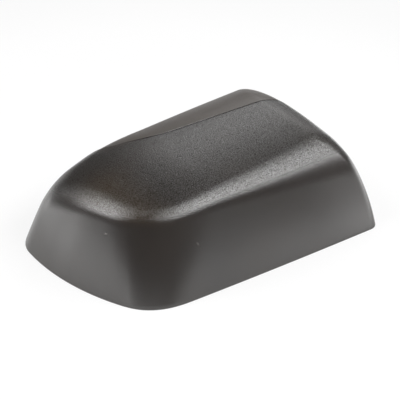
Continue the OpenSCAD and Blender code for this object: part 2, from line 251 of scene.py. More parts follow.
# Scuffs: place, turn in degrees, length and strength
SCUFF_W = 0.6
SCUFF_DEEP = 2
SCUFF_CORE = 0.3
SCUFF_COLOUR = (0.2, 0.19, 0.18)
SCUFFS = ((-63.9, -32.8, 30.2, 60, 1.8, 0.6), (-28.1, -59, 25.4, -25, 3, 0.5))

# How finely the surface is traced: steps on the wall, round the shoulder and over the roof
OUTER_STEPS = (24, 30, 42)
INNER_STEPS = (9, 12, 16)
HALVINGS = 30
RAY_L = 2 * COVER_L

# Rings round the shoulder: how far they spread, and how near they come to the foot and the top
TURN_SHARE = 0.6
TURN_EXTRA = 1.2
TURN_FOOT_PART = 3
TURN_TOP_SHARE = 0.7
EDGE_BLEND = 12

# Spine: the step between its stations, its gap to the flat end, and where its straight part and its turn
# start along the panel's edge. It has lines over the groove, and lines over the step behind it
STATION_STEP = 1.6
SPINE_GAP = 1.1 * COVER_H
SPINE_END_U = HALF_L - SPINE_GAP
TURN_START_U = PANEL_END_L - HALF_L + PANEL_TURN_R
GROOVE_LINES = 17
STEP_LINES = 6

# Fans of rays past the end's corners: steps before, round and after each, and half its width in degrees
END_FANS = (30, 36, 30)
END_SPREAD = 6

# Fans of rays round the nose: steps round its front corner, between the corners and round the rear one
NOSE_FANS = (44, 44, 30)
NOSE_SPREAD = 9
NOSE_GAP = 1

# The last fan at the nose: its steps, and the plan angle that it ends at and the rear side starts with
REAR_FAN = 16
REAR_FIRST_A = -246

# Rounds that find where the nose meets the rear wall
SUBSTITUTIONS = 4

# Sides of the round bosses and holes
TURNED_SIDES = 96


def cos_deg(a):
    """Cosine of an angle in degrees."""
    return np.cos(np.radians(a))


def sin_deg(a):
    """Sine of an angle in degrees."""
    return np.sin(np.radians(a))


def tan_deg(a):
    """Tangent of an angle in degrees."""
    return np.tan(np.radians(a))


def mix(a, b, t):
    """Value between a and b, a at 0 and b at 1."""
    return a + (b - a) * t


def smooth(t):
    """Smooth change from 0 to 1 as t goes from 0 to 1."""
    s = np.clip(t, 0, 1)
    return s * s * (3 - 2 * s)


def round_max(a, b, r):
    """Edge between two faces, rounded with radius r. All three are signed distances."""
    return np.minimum(np.maximum(a, b), -r) + np.hypot(np.maximum(a + r, 0), np.maximum(b + r, 0))


def eased_max(a, b, r):
    """Edge between two faces that bends slowly at first, as deep in its middle as one of radius r."""
    eased_r = EASE_REACH * r
    u = np.maximum(a + eased_r, 0)
    v = np.maximum(b + eased_r, 0)
    return np.minimum(np.maximum(a, b), -eased_r) + (u ** EASE + v ** EASE) ** (1 / EASE)


def fall(t, r):
    """How far an arc of radius r has fallen at a distance t from its crest."""
    return r - np.sqrt(np.maximum(r * r - t * t, 1))


def bow(x, y, place, a, r):
    """Distance outside a bowed side that passes through a place, facing in direction a."""
    return np.hypot(x - place[0] + r * cos_deg(a), y - place[1] + r * sin_deg(a)) - r


def front_wall(x, y, z):
    """Signed distance of the long front wall, whose draft grows towards the flat end."""
    draft = mix(FRONT_DRAFT_NOSE, FRONT_DRAFT_END, (x + HALF_L) / COVER_L)
    return (bow(x, y, (0, -HALF_W), -90, FRONT_BOW_R) + z * tan_deg(draft)) * cos_deg(draft)


def nose_wall(x, y, z):
    """Signed distance of the bowed and drafted nose."""
    across = np.hypot(np.minimum(x + HALF_L - NOSE_BOW_R, 0), y - NOSE_SHIFT) - NOSE_BOW_R
    return (across + z * tan_deg(NOSE_DRAFT)) * cos_deg(NOSE_DRAFT)


def rear_wall(x, y, z):
    """Signed distance of the long rear wall, which curves in as it rises."""
    across = bow(x, y, (HALF_L, HALF_W), 90 + REAR_TAPER, REAR_BOW_R)
    return (across + z * tan_deg(REAR_DRAFT) + fall(z, REAR_CURVE_R)) * cos_deg(REAR_DRAFT)


def end_wall(x, y, z):
    """Signed distance of the flat end, which curves in as it rises."""
    return np.hypot(np.maximum(x - HALF_L + END_CURVE_R, 0), z) - END_CURVE_R


def side_walls(x, y, z):
    """The three sides that share the big corners."""
    front_corner = FRONT_CORNER_R + FRONT_CORNER_GROW * np.maximum(z, 0)
    front = eased_max(front_wall(x, y, z), nose_wall(x, y, z), front_corner)
    return round_max(front, rear_wall(x, y, z), REAR_CORNER_R)


def into_panel(x, y):
    """Distance into the rear panel, from its edge."""
    s = y - PANEL_SHIFT
    u = x * cos_deg(PANEL_SKEW) - s * sin_deg(PANEL_SKEW)
    v = x * sin_deg(PANEL_SKEW) + s * cos_deg(PANEL_SKEW)
    return -round_max(PANEL_END_L - HALF_L - u, -v, PANEL_TURN_R)


def roof(x, y, z):
    """The roof is a barrel. It falls away at the nose and, behind the panel's edge, a little more."""
    across = y - RIDGE_SHIFT - x * tan_deg(RIDGE_SKEW)
    d = into_panel(x, y)
    lean = (d + np.hypot(d, PANEL_BEND)) / 2 * tan_deg(PANEL_LEAN)
    step = PANEL_STEP * smooth(d / PANEL_STEP_W)
    nose_fall = fall(np.maximum(NOSE_FALL_L - HALF_L - x, 0), NOSE_FALL_R)
    flank = RIDGE_FLANK * (np.minimum(across, 0) / (HALF_W / 2)) ** 4
    lift = nose_fall + lean + step + flank - RIDGE_RISE * x / 100
    return np.hypot(across, z + lift - COVER_H + RIDGE_R) - RIDGE_R


def shoulder_r(x, y, z):
    """The shoulder is tight at the front corner of the nose and grows towards the end and the rear."""
    along = np.clip((x + HALF_L) / COVER_L, 0, 1) ** 2
    back = np.clip((y + HALF_W) / COVER_W, 0, 1)
    high = mix(mix(SHOULDER_NOSE_R, SHOULDER_END_R, along), SHOULDER_REAR_R, back)
    return np.minimum(high, SHOULDER_LOW_R + SHOULDER_LOW_GROW * np.maximum(z, 0))


def end_edge(z):
    """Radius of the edge of the flat end, which grows near its top."""
    return END_EDGE_R + END_EDGE_GROW * np.maximum(z - END_EDGE_GROW_Z, 0)


def skin(p):
    """The whole outside: signed distance at points p, negative inside the cover."""
    x, y, z = p[..., 0], p[..., 1], p[..., 2]
    body = round_max(side_walls(x, y, z), roof(x, y, z), shoulder_r(x, y, z))
    return round_max(body, end_wall(x, y, z), end_edge(z))


def ray_dir(a, e):
    """Directions with plan angle a and elevation e."""
    a, e = np.broadcast_arrays(a, e)
    return np.stack([cos_deg(a) * cos_deg(e), sin_deg(a) * cos_deg(e), sin_deg(e)], axis=-1)


def lifted(plan, z=0.0):
    """Points of the plan as points in space, at height z."""
    return np.concatenate([plan, np.broadcast_to(z, plan.shape[:-1])[..., None]], axis=-1)


def reach(start, direction, depth=0.0):
    """How far rays run from inside to the surface that lies depth below the skin, by halving."""
    near = np.zeros(np.broadcast_shapes(start.shape, direction.shape)[:-1])
    far = near + RAY_L
    for _ in range(HALVINGS):
        middle = (near + far) / 2
        inside = skin(start + middle[..., None] * direction) + depth < 0
        near = np.where(inside, middle, near)
        far = np.where(inside, far, middle)
    return near


def surface(start, direction, depth=0.0, pull=0.0):
    """Points where rays meet the surface that lies depth below the skin, pulled back along the rays."""
    return start + (reach(start, direction, depth) - pull)[..., None] * direction


def height(plan, depth):
    """Height of the surface that lies depth below the skin, above points of the plan."""
    return reach(lifted(plan), ray_dir(0, 90), depth)


def from_edge(u, v):
    """Points of the plan from the panel edge's own axes."""
    c, s = cos_deg(PANEL_SKEW), sin_deg(PANEL_SKEW)
    return np.stack([u * c + v * s, PANEL_SHIFT - u * s + v * c], axis=-1)


def fan(a, b, n):
    """Angles of a fan, from a to b without a itself."""
    return mix(a, b, np.arange(1, n + 1) / n)


def fan_past(first, corner, last):
    """Angles of a fan that falls from first to last and is closer round an end corner between them."""
    return np.concatenate([
        fan(first, corner + END_SPREAD, END_FANS[0]),
        fan(corner + END_SPREAD, corner - END_SPREAD, END_FANS[1]),
        fan(corner - END_SPREAD, last, END_FANS[2]),
    ])


def angle_of(o, p):
    """Plan angle in which p lies from o."""
    return math.degrees(math.atan2(p[1] - o[1], p[0] - o[0]))


def nose_rear_corner():
    """Where the nose's bow meets the rear wall in plan, found by repeated substitution."""
    x = -HALF_L
    for _ in range(SUBSTITUTIONS):
        y = HALF_W - (HALF_L - x) * tan_deg(REAR_TAPER)
        x = NOSE_BOW_R - HALF_L - math.sqrt(NOSE_BOW_R ** 2 - (y - NOSE_SHIFT) ** 2)
    return x, y


def along_edge(x, y):
    """Place along the straight part of the panel's edge."""
    return x * cos_deg(PANEL_SKEW) - (y - PANEL_SHIFT) * sin_deg(PANEL_SKEW)


def groove_fade(x, y):
    """0 where the groove begins on the turn of the panel's edge, growing to 1 towards the flat end."""
    begin = PANEL_END_L - HALF_L + PANEL_TURN_R * (1 - sin_deg(GROOVE_TURN))
    length = SPINE_END_U - begin
    return smooth((along_edge(x, y) - begin) / (GROOVE_FADE_PART * length))


def end_fade(e):
    """1 over the roof, falling to 0 down the flat end. It goes by the elevation seen from the spine."""
    return smooth((e - GROOVE_END_LOW) / (GROOVE_END_HIGH - GROOVE_END_LOW))


class Spine:
    """Lines beside the panel's edge, on which the rays start: a grid of lines by stations."""

    def __init__(self):
        self.line_n = round((SPINE_END_U - TURN_START_U) / STATION_STEP)
        self.turn_n = round(PANEL_TURN_R * math.radians(GROOVE_TURN) / STATION_STEP)
        straight = np.linspace(SPINE_END_U, TURN_START_U, self.line_n + 1)
        turn = GROOVE_TURN * np.arange(1, self.turn_n + 1) / self.turn_n
        u = np.concatenate([straight, TURN_START_U - PANEL_TURN_R * sin_deg(turn)])
        v = np.concatenate([0 * straight, PANEL_TURN_R * (1 - cos_deg(turn))])
        self.heading = 180 - PANEL_SKEW - np.concatenate([0 * straight, turn])
        near = np.linspace(-GROOVE_W, GROOVE_W, GROOVE_LINES)
        beyond = GROOVE_W + fan(0, PANEL_STEP_W + PANEL_BEND, STEP_LINES)
        offsets = np.concatenate([near, beyond])
        aside = np.stack([cos_deg(self.heading - 90), sin_deg(self.heading - 90)], axis=-1)
        self.plan = from_edge(u, v)[None] + offsets[:, None, None] * aside[None]
        self.lines, self.stations = self.plan.shape[:2]

    def along(self):
        """0 on the straight part of the edge, growing to 1 at the last station of the turn."""
        return smooth((np.arange(self.stations) - self.line_n) / self.turn_n)

    def groove_depth(self, plan, e):
        """Depth of the groove at points of the plan, seen at elevation e from the spine."""
        x, y = plan[..., 0], plan[..., 1]
        across = smooth(1 - np.abs(into_panel(x, y)) / (GROOVE_W / 2))
        return GROOVE_D * across * groove_fade(x, y) * end_fade(e)


def ring_of_rays(spine):
    """Each ray's line, station and plan angle, falling from the flat end round front, nose and rear."""
    last = spine.stations - 1
    rear_line = spine.lines - 1
    end_a = -PANEL_SKEW
    nose_a = spine.heading[-1] - 360
    front_start, front_last = spine.plan[0, 0], spine.plan[0, last]
    corner = nose_rear_corner()
    tip_x = NOSE_BOW_R - HALF_L - math.sqrt(NOSE_BOW_R ** 2 - (HALF_W + NOSE_SHIFT) ** 2)
    front_end_a = angle_of(front_start, (HALF_L, -HALF_W))
    rear_end_a = angle_of(spine.plan[rear_line, 0], (HALF_L, HALF_W)) - 360
    front_nose_a = angle_of(front_last, (tip_x, -HALF_W))
    rear_nose_a = max(angle_of(front_last, corner) - 360, nose_a + NOSE_SPREAD + NOSE_GAP)
    front_last_a = front_nose_a + NOSE_SPREAD
    end_fan = fan_past(end_a, front_end_a, -90)
    nose_fan = np.concatenate([
        fan(front_last_a, front_nose_a - NOSE_SPREAD, NOSE_FANS[0]),
        fan(front_nose_a - NOSE_SPREAD, rear_nose_a + NOSE_SPREAD, NOSE_FANS[1]),
        fan(rear_nose_a + NOSE_SPREAD, rear_nose_a - NOSE_SPREAD, NOSE_FANS[2]),
        [nose_a],
    ])
    rear_end_fan = fan_past(-270, rear_end_a, end_a - 360)[:-1]
    along = spine.along()
    rays = [(j, 0, end_a) for j in range(rear_line, -1, -1)]
    rays += [(0, 0, a) for a in end_fan]
    rays += [(0, i, mix(-90, front_last_a, along[i])) for i in range(1, last + 1)]
    rays += [(0, last, a) for a in nose_fan]
    rays += [(j, last, nose_a) for j in range(1, rear_line + 1)]
    rays += [(rear_line, last, a) for a in fan(nose_a, REAR_FIRST_A, REAR_FAN)]
    rays += [(rear_line, i, mix(-270, REAR_FIRST_A, along[i])) for i in range(last - 1, -1, -1)]
    rays += [(rear_line, 0, a) for a in rear_end_fan]
    return tuple(np.array(column) for column in zip(*rays))


def shoulder_ranges(start, angle):
    """The elevations between which each ray passes round the shoulder."""
    low, high = np.zeros(len(angle)), np.full(len(angle), 90.0)
    for _ in range(HALVINGS // 2):
        e = (low + high) / 2
        x, y, z = surface(start, ray_dir(angle, e)).T
        on_wall = np.maximum(side_walls(x, y, z), end_wall(x, y, z)) > roof(x, y, z)
        low, high = np.where(on_wall, e, low), np.where(on_wall, high, e)
    p = surface(start, ray_dir(angle, e))
    x, y, z = p.T
    over = end_wall(x, y, z) - side_walls(x, y, z)
    radius = mix(shoulder_r(x, y, z), end_edge(z), smooth(over / EDGE_BLEND + 0.5))
    away = np.linalg.norm(p - start, axis=-1)
    spread = np.degrees(np.arctan2(TURN_SHARE * radius + TURN_EXTRA, away))
    lowest = np.maximum(e - spread, e / TURN_FOOT_PART)
    highest = np.minimum(e + spread, mix(e, 90, TURN_TOP_SHARE))
    return lowest, highest


def elevations(first, ranges, steps):
    """Elevations of the rings above the rim, a row for each, up to just under the tops."""
    wall = [mix(first, ranges[0], j / steps[0]) for j in range(1, steps[0])]
    turn = [mix(ranges[0], ranges[1], j / steps[1]) for j in range(steps[1])]
    top = [mix(ranges[1], 90, j / steps[2]) for j in range(steps[2])]
    return wall + turn + top


def rim_rings(start, angle, radius, depth):
    """Rings round the rim's edge, from the flat underside up, outside or, at a depth, inside."""
    rings = []
    for phi in np.linspace(0, 90, RIM_STEPS + 1):
        z = radius * (1 - cos_deg(phi))
        pull = radius * (1 - sin_deg(phi))
        here = start + np.array([0, 0, z])
        rings.append(surface(here, ray_dir(angle, 0), depth, -pull if depth else pull))
    return rings


def skin_rings(start, angle, edge, depth, steps, groove=None):
    """All rings of one side of the skin, from the rim up."""
    rings = rim_rings(start, angle, edge, depth)
    first = np.degrees(np.arctan2(edge, np.hypot(*(rings[-1] - start)[:, :2].T)))
    for e in elevations(first, shoulder_ranges(start, angle), steps):
        direction = ray_dir(angle, e)
        ring = surface(start, direction, depth)
        if groove:
            ring = ring - groove(ring[:, :2], e)[:, None] * direction
        rings.append(ring)
    return rings


def strip_faces(lines, stations, base):
    """Faces of a grid of tops, whose points start at place base."""
    return [
        (base + j * stations + i, base + j * stations + i + 1,
         base + (j + 1) * stations + i + 1, base + (j + 1) * stations + i)
        for j in range(lines - 1) for i in range(stations - 1)
    ]


def cap_faces(ring_base, top_of, n):
    """Faces between the highest ring and the tops that its rays run up to."""
    faces = []
    for k in range(n):
        after = (k + 1) % n
        a, b = ring_base + k, ring_base + after
        if top_of[k] == top_of[after]:
            faces.append((a, b, top_of[k]))
        else:
            faces.append((a, b, top_of[after], top_of[k]))
    return faces


def skin_mesh():
    """Points in millimetres and faces of the skin: inside, rim and outside in one closed surface."""
    spine = Spine()
    line, station, angle = ring_of_rays(spine)
    start = lifted(spine.plan[line, station])
    inner = skin_rings(start, angle, RIM_INNER_EDGE, WALL_T, INNER_STEPS)
    outer = skin_rings(start, angle, RIM_EDGE, 0.0, OUTER_STEPS, spine.groove_depth)
    rings = inner[::-1] + outer
    n = len(angle)
    flat = spine.plan.reshape(-1, 2)
    outer_z = height(flat, 0.0) - spine.groove_depth(flat, 90.0)
    points = np.concatenate(rings + [lifted(flat, outer_z), lifted(flat, height(flat, WALL_T))])
    faces = []
    for j in range(len(rings) - 1):
        for k in range(n):
            a, b = j * n + k, j * n + (k + 1) % n
            faces.append((a, b, b + n, a + n))
    outer_base = len(rings) * n
    inner_base = outer_base + len(flat)
    place = line * spine.stations + station
    for base, ring_base in ((outer_base, outer_base - n), (inner_base, 0)):
        faces += cap_faces(ring_base, base + place, n)
        faces += strip_faces(spine.lines, spine.stations, base)
    return points, faces


def mesh_object(name, points, faces):
    """A Blender object from points in metres, with its faces turned outwards."""
    mesh = bpy.data.meshes.new(name)
    mesh.from_pydata([tuple(p) for p in points], [], [tuple(int(i) for i in f) for f in faces])
    shape = bmesh.new()
    shape.from_mesh(mesh)
    bmesh.ops.recalc_face_normals(shape, faces=shape.faces)
    shape.to_mesh(mesh)
    shape.free()
    made = bpy.data.objects.new(name, mesh)
    bpy.context.scene.collection.objects.link(made)
    return made


def prism(name, outline, thickness, turn, place):
    """A closed prism in millimetres: its outline lies in the plane of turn's first two axes."""
    n = len(outline)
    flat = np.asarray(outline, float)
    ends = [lifted(flat, side * thickness / 2) for side in (-1, 1)]
    points = np.concatenate(ends) @ np.array(turn, float) + np.array(place, float)
    faces = [tuple(range(n)), tuple(range(n, 2 * n))]
    faces += [(i, (i + 1) % n, n + (i + 1) % n, n + i) for i in range(n)]
    return mesh_object(name, to_frame(points), faces)


def turned(name, profile, place):
    """A solid of revolution in millimetres about the vertical through a place of the plan."""
    sides = TURNED_SIDES
    angles = np.linspace(0, 360, sides, endpoint=False)
    rings = [np.stack([r * cos_deg(angles), r * sin_deg(angles), 0 * angles + z], axis=-1)
             for r, z in profile]
    points = np.concatenate(rings) + np.array([place[0], place[1], 0])
    faces = [tuple(range(sides)), tuple(range(len(points) - sides, len(points)))]
    for j in range(len(profile) - 1):
        for k in range(sides):
            a, b = j * sides + k, j * sides + (k + 1) % sides
            faces.append((a, b, b + sides, a + sides))
    return mesh_object(name, to_frame(points), faces)


def upright(a):
    """Axes of a prism that stands upright: along plan angle a, up, and across."""
    return [[cos_deg(a), sin_deg(a), 0], [0, 0, 1], [sin_deg(a), -cos_deg(a), 0]]


def rib(x):
    """One rib across the roof at x, following the skin down both walls."""
    o = np.array([x, PANEL_SHIFT])
    outline, inside = [], []
    for a in (-90, 90):
        foot = math.degrees(math.atan2(RIB_FOOT_Z, reach(lifted(o), ray_dir(a, 0))))
        e = np.linspace(foot, 90, RIB_POINTS)
        deep = RIB_H * smooth((e - foot) / RIB_GROW)
        direction = ray_dir(a, e)
        side = math.copysign(1, a)
        pair = []
        for depth in (SINK, WALL_T + deep):
            t = reach(lifted(o), direction, depth)
            pair.append(np.stack([side * t * cos_deg(e), t * sin_deg(e)], axis=-1))
        step = 1 if a < 0 else -1
        outline += list(pair[0][::step])
        inside += list(pair[1][::step])
    middle = len(outline) // 2
    del outline[middle], inside[middle]
    return prism("rib", outline + inside[::-1], RIB_T, upright(90), (x, PANEL_SHIFT, 0))


def boss_place(x):
    """Place of the plan under the ridge at x."""
    return np.array([x, RIDGE_SHIFT + x * tan_deg(RIDGE_SKEW)])


def boss_fin(o, a):
    """One fin from a boss out along plan angle a, hanging from the roof."""
    out = np.array([0, 0.5, 1]) * FIN_REACH
    heading = np.array([cos_deg(a), sin_deg(a)])
    roof_z = height(o + out[:, None] * heading, SINK)
    low_z = roof_z[0] - WALL_T - FIN_L
    outline = [
        (0, low_z),
        (BOSS_D / 2, low_z),
        (out[2], roof_z[2] - WALL_T - FIN_END),
        (out[2], roof_z[2]),
        (out[1], roof_z[1]),
        (0, roof_z[0]),
    ]
    return prism("boss_fin", outline, RIB_T, upright(a), (o[0], o[1], 0))


def boss(x):
    """One hollow screw boss under the ridge with its four fins, and the cut of its hole."""
    o = boss_place(x)
    top_z = float(height(o, SINK))
    r = BOSS_D / 2
    post = turned("boss", [
        (r - BOSS_MOUTH, BOSS_END_Z),
        (r, BOSS_END_Z + BOSS_MOUTH),
        (r, top_z),
    ], o)
    hole_r = BOSS_HOLE_D / 2
    hole = turned("boss_hole", [
        (hole_r + 2 * BOSS_MOUTH, BOSS_END_Z - BOSS_MOUTH),
        (hole_r, BOSS_END_Z + BOSS_MOUTH),
        (hole_r, BOSS_END_Z + BOSS_HOLE_L),
    ], o)
    return [post] + [boss_fin(o, a) for a in range(0, 360, FIN_TURN)], hole


def inside_at(o, a, z):
    """Distance from o to the skin's inside at height z, along plan angle a."""
    return float(reach(lifted(o, z), ray_dir(a, 0), WALL_T))


def catch(x, a):
    """One catch on a long wall: a ledge with a ramp above it, seen from the middle line."""
    o = np.array([x, 0.0])
    low = inside_at(o, a, CATCH_Z)
    high = inside_at(o, a, CATCH_Z + CATCH_L)
    outline = [
        (low + SINK, CATCH_Z),
        (low - CATCH_REACH, CATCH_Z),
        (low - CATCH_REACH, CATCH_Z + CATCH_LAND),
        (high, CATCH_Z + CATCH_L),
        (high + SINK, CATCH_Z + CATCH_L),
    ]
    return prism("catch", outline, CATCH_W, upright(a), (x, 0, 0))


def combine(target, added, cut):
    """Unites solids with the target and cuts others away, as one closed mesh."""
    for tool, operation in [(t, "UNION") for t in added] + [(t, "DIFFERENCE") for t in cut]:
        modifier = target.modifiers.new("solid", "BOOLEAN")
        modifier.operation = operation
        modifier.solver = "MANIFOLD"
        modifier.object = tool
    depsgraph = bpy.context.evaluated_depsgraph_get()
    made = bpy.data.meshes.new_from_object(target.evaluated_get(depsgraph))
    target.modifiers.clear()
    target.data = made
    for tool in added + cut:
        bpy.data.objects.remove(tool)


# The traced skin gives the shift from the part's own axes to the frame: the boxes share their middle
skin_points, skin_faces = skin_mesh()
node_low, node_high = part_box("base_cover")
node_middle = (np.array(node_low) + np.array(node_high)) / 2
skin_middle = (skin_points.min(axis=0) + skin_points.max(axis=0)) / 2 * MM
FRAME_SHIFT = (node_middle - skin_middle) * np.array([1, 1, 0])


def to_frame(points):
    """Millimetres in the part's own axes to metres in the frame."""
    return points * MM + FRAME_SHIFT


def from_frame(points):
    """Metres in the frame to millimetres in the part's own axes."""
    return (points - FRAME_SHIFT) / MM


def moulded_cover():
    """The whole cap as one closed mesh: skin, ribs, screw bosses and catches."""
    cover = mesh_object("moulded_cover", to_frame(skin_points), skin_faces)
    added = [rib((i - (RIB_COUNT - 1) / 2) * RIB_PITCH) for i in range(RIB_COUNT)]
    cut = []
    for x in (-BOSS_PITCH / 2, BOSS_PITCH / 2):
        posts, hole = boss(x)
        added += posts
        cut.append(hole)
    for x in (-CATCH_PITCH / 2, CATCH_PITCH / 2):
        added += [catch(x, -90), catch(x, 90 + REAR_TAPER)]
    combine(cover, added, cut)
    cover.data.shade_smooth()
    cover.data.set_sharp_from_angle(angle=math.radians(SHARP_ANGLE))
    return cover


def add_masks(cover):
    """Stores where the surface is roof, rear panel, nose or groove, for the finish, the painted reflection
    on the panel and the painted shade in the groove.
    """
    mesh = cover.data
    co = np.empty(len(mesh.vertices) * 3)
    mesh.vertices.foreach_get("co", co)
    points = from_frame(co.reshape(-1, 3))
    x, y, z = points.T
    wall = np.maximum(side_walls(x, y, z), end_wall(x, y, z))
    over_roof = smooth((roof(x, y, z) - wall + ROOF_SHIFT) / ROOF_BLEND)
    d = into_panel(x, y)
    outer = skin(points) > -WALL_T / 2
    seen_at = np.degrees(np.arctan2(z, np.maximum(along_edge(x, y) - SPINE_END_U, 0)))
    edge_part = groove_fade(x, y) * end_fade(seen_at)
    # Painted shade along the groove, fading where the groove itself fades
    in_groove = smooth(GROOVE_DARK - np.abs(d + GROOVE_DARK_AT) / GROOVE_DARK_W)
    at_nose = smooth((NOSE_TINT_X - x) / NOSE_TINT_L) * smooth((NOSE_TINT_Y - y) / NOSE_TINT_L)
    masks = {
        "roof_part": over_roof,
        "panel_part": smooth(d / mix(PANEL_SOFT_W, PANEL_STEP_W, edge_part) + 0.5),
        "nose_part": over_roof * at_nose,
        "groove_shade_part": in_groove * edge_part * outer,
    }
    for name, values in masks.items():
        mask = mesh.attributes.new(name, "FLOAT", "POINT")
        mask.data.foreach_set("value", values.astype(np.float32))


class Nodes:
    """Short calls to build a node tree."""

    def __init__(self, tree):
        self.tree = tree
        tree.nodes.clear()

    def add(self, kind, **settings):
        """A new node, with some of its settings."""
        node = self.tree.nodes.new(kind)
        for name, value in settings.items():
            setattr(node, name, value)
        return node

    def link(self, source, target):
        """Links an output to an input."""
        self.tree.links.new(source, target)

    def put(self, value, target):
        """Links a socket, or sets a plain number or colour."""
        if isinstance(value, (int, float)):
            target.default_value = value
        elif isinstance(value, tuple):
            target.default_value = (*value, 1)
        else:
            self.link(value, target)

    def noise(self, vector, scale, detail):
        """Noise between 0 and 1 over places."""
        node = self.add("ShaderNodeTexNoise")
        node.inputs["Scale"].default_value = scale
        node.inputs["Detail"].default_value = detail
        self.link(vector, node.inputs["Vector"])
        return node.outputs["Fac"]

    def mask(self, name):
        """One of the masks that are stored on the mesh."""
        return self.add("ShaderNodeAttribute", attribute_name=name).outputs["Fac"]

    def ramp(self, source, stops):
        """A colour ramp with its stops as (position, colour)."""
        node = self.add("ShaderNodeValToRGB")
        steps = node.color_ramp.elements
        while len(steps) < len(stops):
            steps.new(1)
        for step, (position, colour) in zip(steps, stops):
            step.position = position
            step.color = (*colour, 1)
        self.link(source, node.inputs["Fac"])
        return node.outputs["Color"]

    def math(self, operation, a, b, clamp=False):
        """One operation on two sockets or numbers."""
        node = self.add("ShaderNodeMath", operation=operation, use_clamp=clamp)
        self.put(a, node.inputs[0])
        self.put(b, node.inputs[1])
        return node.outputs[0]

    def span(self, source, low, high):
        """Maps 0 to 1 onto low to high."""
        node = self.add("ShaderNodeMapRange")
        self.link(source, node.inputs["Value"])
        node.inputs["To Min"].default_value = low
        node.inputs["To Max"].default_value = high
        return node.outputs["Result"]

    def fade(self, source, start, end):
        """Smooth change from 0 at start to 1 at end, either of which may be the larger."""
        node = self.add("ShaderNodeMapRange", interpolation_type="SMOOTHSTEP")
        self.link(source, node.inputs["Value"])
        node.inputs["From Min"].default_value = start
        node.inputs["From Max"].default_value = end
        return node.outputs["Result"]

    def blend(self, share, first, second):
        """Mix of two colours, with the second's share."""
        node = self.add("ShaderNodeMix", data_type="RGBA")
        self.put(share, node.inputs["Factor"])
        self.put(first, node.inputs["A"])
        self.put(second, node.inputs["B"])
        return node.outputs["Result"]

    def seen_rays(self, glossy):
        """1 for rays that show the background straight or through glass, and a share for reflected ones."""
        path = self.add("ShaderNodeLightPath")
        mirrored = self.math("MULTIPLY", path.outputs["Is Glossy Ray"], glossy)
        seen = self.math("MAXIMUM", path.outputs["Is Camera Ray"], mirrored)
        return self.math("MAXIMUM", seen, path.outputs["Is Transmission Ray"])

    def mixed(self, share, first, second):
        """Mix of two shaders, with the second's share."""
        node = self.add("ShaderNodeMixShader")
        self.put(share, node.inputs[0])
        self.link(first, node.inputs[1])
        self.link(second, node.inputs[2])
        return node.outputs[0]


def scuff(make, place, x, y, z, turn, length, strength):
    """Share of one small scuff: an upright stroke at a place of the skin, turned about the Y axis."""
    stroke = make.add("ShaderNodeMapping", vector_type="TEXTURE")
    make.link(place, stroke.inputs["Vector"])
    stroke.inputs["Location"].default_value = to_frame(np.array([x, y, z]))
    stroke.inputs["Rotation"].default_value = (0, math.radians(turn), 0)
    stroke.inputs["Scale"].default_value = (SCUFF_W / 2 * MM, SCUFF_DEEP * MM, length / 2 * MM)
    away = make.add("ShaderNodeVectorMath", operation="LENGTH")
    make.link(stroke.outputs["Vector"], away.inputs[0])
    edge = make.add("ShaderNodeMapRange")
    make.link(away.outputs["Value"], edge.inputs["Value"])
    edge.inputs["From Min"].default_value = 1
    edge.inputs["From Max"].default_value = SCUFF_CORE
    edge.inputs["To Max"].default_value = strength
    return edge.outputs["Result"]


def plastic_colour(make, place, panel_part, groove_shade_part):
    """Nearly black, in slow clouds: warmer on the nose, browner on the panel and lighter there as a painted
    reflection, and darkest in the groove as painted shade.
    """
    cloud = make.noise(place, CLOUD_SCALE, CLOUD_DETAIL)
    cover_tint, nose_tint, panel_tint_and_sheen = (
        make.ramp(cloud, [(CLOUD_LOW, low), (CLOUD_HIGH, high)])
        for low, high in (COVER_TINT, NOSE_TINT, PANEL_TINT_AND_SHEEN)
    )
    colour = make.blend(make.mask("nose_part"), cover_tint, nose_tint)
    # The panel's browner tint, lighter as a painted reflection
    colour = make.blend(panel_part, colour, panel_tint_and_sheen)
    for spot in SCUFFS:
        colour = make.blend(scuff(make, place, *spot), colour, SCUFF_COLOUR)
    # Painted shade in the groove
    return make.blend(groove_shade_part, colour, GROOVE_PAINTED_SHADE)


def plastic_roughness(make, panel_part, grained):
    """A little rougher where it is grained, and softer still on the panel."""
    rough = make.span(grained, WALL_ROUGHNESS, ROOF_ROUGHNESS)
    more = make.math("MULTIPLY", panel_part, PANEL_ROUGHER)
    return make.math("ADD", rough, more)


def plastic_shine(make, groove_shade_part, grained, grain):
    """Specular level: it sparkles with the grain, and fades out in the groove as painted shade."""
    sparkle = make.math("MULTIPLY", grained, GRAIN_SPARKLE)
    spread = make.math("MULTIPLY", make.math("SUBTRACT", grain, NOISE_MEAN), sparkle)
    level = make.math("ADD", spread, SPECULAR_LEVEL)
    # No shine in the groove, as painted shade
    open_part = make.math("SUBTRACT", 1, groove_shade_part, clamp=True)
    return make.math("MULTIPLY", level, open_part)


def plastic_grain(make, grained, grain):
    """The normal of the fine moulded grain."""
    bump = make.add("ShaderNodeBump")
    bump.inputs["Strength"].default_value = 1
    bump.inputs["Distance"].default_value = GRAIN_DEPTH
    make.link(make.math("MULTIPLY", grain, make.span(grained, WALL_GRAIN, 1)), bump.inputs["Height"])
    return bump.outputs["Normal"]


